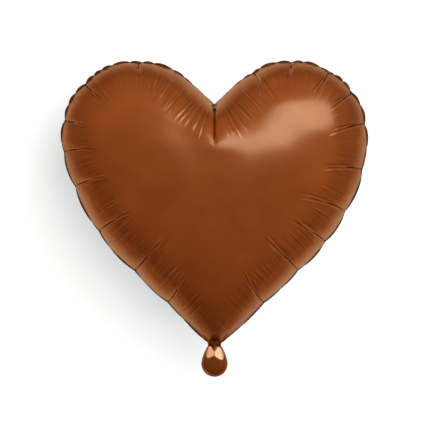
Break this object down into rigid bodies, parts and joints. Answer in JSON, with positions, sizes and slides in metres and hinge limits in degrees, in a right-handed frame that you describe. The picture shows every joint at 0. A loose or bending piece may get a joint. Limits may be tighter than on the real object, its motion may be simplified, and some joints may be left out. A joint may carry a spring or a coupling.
{
  "type": "heart foil balloon",
  "caption": "Inflated heart-shaped foil balloon with a welded rim, a self-closing valve and a small teardrop tail whose open end is folded back behind it.",
  "frame": {"origin": "on the surface that the balloon lies on, under the middle of its overall width and length", "axes": "+Z out of the front face, +Y from the tail to the cleft between the lobes, +X to the right seen from the front with the cleft up"},
  "size_m": [0.401, 0.413, 0.1566],
  "materials": {
    "foil": "satin copper-brown metallised film",
    "foil_weld": "satin, flattened by the heat weld",
    "tail_foil": "glossy copper-brown metallised film",
    "valve_film": "clear gloss film"
  },
  "bodies": {
    "balloon": {"front_panel": "foil", "rear_panel": "foil", "rim_seal": "foil_weld", "valve_front_film": "valve_film", "valve_rear_film": "valve_film", "valve_edge_welds": "valve_film", "neck_crease": "foil_weld"},
    "tail": {"tail_front_ply": "tail_foil", "tail_rear_ply": "tail_foil", "tail_seal": "foil_weld", "tail_fold_crease": "tail_foil"},
    "tail_end": {"tail_end_front_ply": "tail_foil", "tail_end_rear_ply": "tail_foil", "tail_end_welds": "foil_weld"}
  },
  "joints": [
    {"name": "tail_swing", "type": "hinge", "parent": "balloon", "child": "tail", "pos_m": [0, -0.16337, 0.0778], "axis": [1, 0, 0], "range_deg": [-65, 65], "stiffness_Nm_per_rad": 0.002},
    {"name": "tail_unfold", "type": "hinge", "parent": "tail", "child": "tail_end", "pos_m": [0, -0.20497, 0.0756], "axis": [-1, 0, 0], "range_deg": [0, 140], "stiffness_Nm_per_rad": 0.0005}
  ]
}
